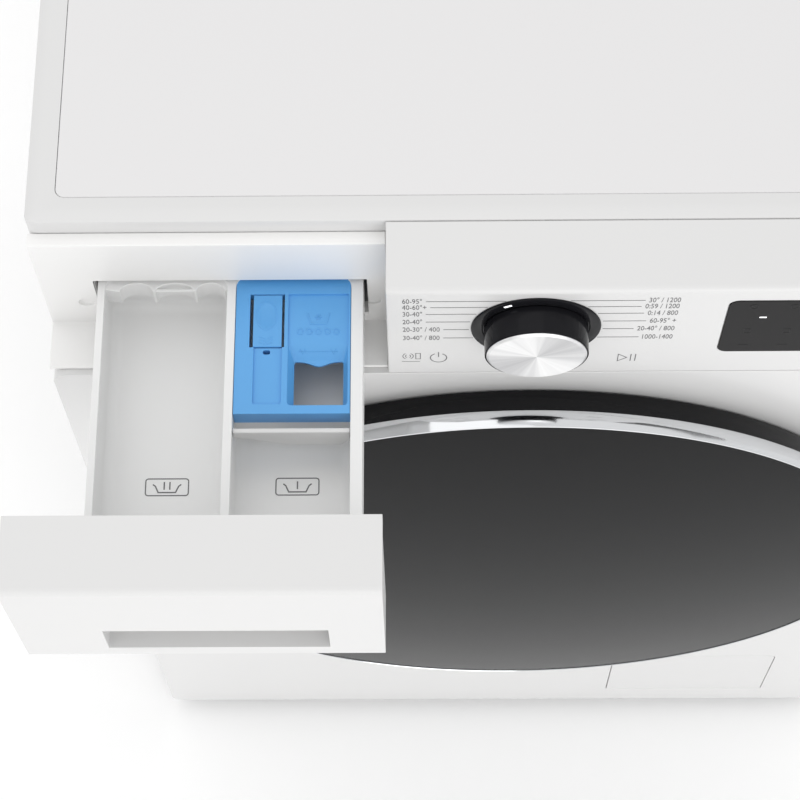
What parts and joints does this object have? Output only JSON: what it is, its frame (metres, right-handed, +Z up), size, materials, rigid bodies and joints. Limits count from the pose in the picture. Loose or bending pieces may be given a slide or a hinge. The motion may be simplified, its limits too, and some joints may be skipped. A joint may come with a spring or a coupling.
{
  "type": "front load washing machine",
  "caption": "White front-loading washing machine with a round glass door, rotary dial, display and detergent drawer pulled out.",
  "frame": {"origin": "on the floor, under the middle of the machine's box with the detergent drawer pulled out", "axes": "+Z up, +Y to the back, +X to the right seen from the front; the door faces -Y"},
  "size_m": [0.6, 0.797, 0.85],
  "materials": {
    "white_paint": "smooth satin white enamel",
    "white_plastic": "satin white",
    "tray_plastic": "light grey, fine grain",
    "blue_plastic": "light blue",
    "black_gloss": "piano black",
    "dark_glass": "tinted, polished",
    "clear_glass": "clear, polished",
    "chrome": "polished",
    "spun_metal": "spun with fine rings",
    "steel": "stainless",
    "galvanised": "zinc plated",
    "grey_plastic": "moulded grey",
    "dark_plastic": "moulded black",
    "rubber": "grey, matte",
    "cast_iron": "rough cast, dark paint",
    "cast_aluminium": "die cast",
    "copper": "enamelled copper windings",
    "white_laminate": "white laminate on chipboard, fine satin"
  },
  "bodies": {
    "cabinet": {"back_panel": "white_paint", "base_pan": "grey_plastic", "control_panel": "white_plastic", "damper_tube_left": "dark_plastic", "damper_tube_right": "dark_plastic", "dial_bezel": "black_gloss", "dispenser_box": "grey_plastic", "dispenser_fascia": "white_plastic", "display_window": "black_gloss", "door_hinge_bracket": "galvanised", "door_lock": "dark_plastic", "drain_outlet": "grey_plastic", "drain_pump": "dark_plastic", "foot_front_left": "rubber", "foot_front_right": "rubber", "foot_rear_left": "rubber", "foot_rear_right": "rubber", "front_panel": "white_paint", "gasket": "rubber", "inlet_valve": "dark_plastic", "left_side_panel": "white_paint", "mains_inlet": "dark_plastic", "rear_cover": "grey_plastic", "right_side_panel": "white_paint", "spring_left": "steel", "spring_right": "steel", "worktop_board": "white_laminate", "worktop_surround": "white_plastic"},
    "drawer": {"drawer_front": "white_plastic", "drawer_tray": "tray_plastic", "siphon_cap": "blue_plastic", "liquid_divider": "white_plastic"},
    "release_tab": {"release_tab": "blue_plastic"},
    "dial": {"dial_skirt": "black_gloss", "dial_cap": "spun_metal"},
    "door": {"door_cover": "dark_glass", "door_trim_ring": "chrome", "door_frame": "black_gloss", "door_back_ring": "grey_plastic", "door_bowl": "clear_glass", "door_hook": "steel", "door_hinge_arm": "galvanised"},
    "tub": {"tub_front": "grey_plastic", "tub_rear": "grey_plastic", "counterweight": "cast_iron", "bearing_front": "steel", "bearing_rear": "steel", "motor_stator": "copper", "heater": "steel", "damper_rod_left": "grey_plastic", "damper_rod_right": "grey_plastic"},
    "drum": {"drum_shell": "steel", "drum_lifter_1": "tray_plastic", "drum_lifter_2": "tray_plastic", "drum_lifter_3": "tray_plastic", "drum_spider": "cast_aluminium", "drum_shaft": "steel", "motor_rotor": "galvanised"},
    "service_flap": {"service_flap": "white_plastic"},
    "drain_filter": {"drain_filter": "grey_plastic"}
  },
  "joints": [
    {"name": "drawer_slide", "type": "slide", "parent": "cabinet", "child": "drawer", "axis": [0, 1, 0], "range_m": [0, 0.182]},
    {"name": "tab_press", "type": "hinge", "parent": "drawer", "child": "release_tab", "pos_m": [-0.1605, -0.2226, 0.7865], "axis": [-1, 0, 0], "range_deg": [0, 8], "stiffness_Nm_per_rad": 0.5, "springref_deg": -1.15},
    {"name": "dial_turn", "type": "hinge", "parent": "cabinet", "child": "dial", "pos_m": [0, -0.2165, 0.8], "axis": [0, -1, 0], "continuous": true},
    {"name": "door_swing", "type": "hinge", "parent": "cabinet", "child": "door", "pos_m": [-0.25, -0.235, 0.455], "axis": [0, 0, -1], "range_deg": [0, 110]},
    {"name": "tub_bounce", "type": "slide", "parent": "cabinet", "child": "tub", "axis": [0, 0, 1], "range_m": [-0.012, 0.012], "stiffness_N_per_m": 9000, "springref_m": 0.03898, "deforming": ["spring_left", "spring_right", "gasket"]},
    {"name": "drum_spin", "type": "hinge", "parent": "tub", "child": "drum", "pos_m": [0, 0.2385, 0.455], "axis": [0, 1, 0], "continuous": true},
    {"name": "flap_open", "type": "hinge", "parent": "cabinet", "child": "service_flap", "pos_m": [0.1675, -0.21525, 0.04585], "axis": [1, 0, 0], "range_deg": [0, 95]},
    {"name": "filter_turn", "type": "hinge", "parent": "cabinet", "child": "drain_filter", "pos_m": [0.1675, -0.1925, 0.083], "axis": [0, -1, 0], "range_deg": [0, 180]}
  ]
}
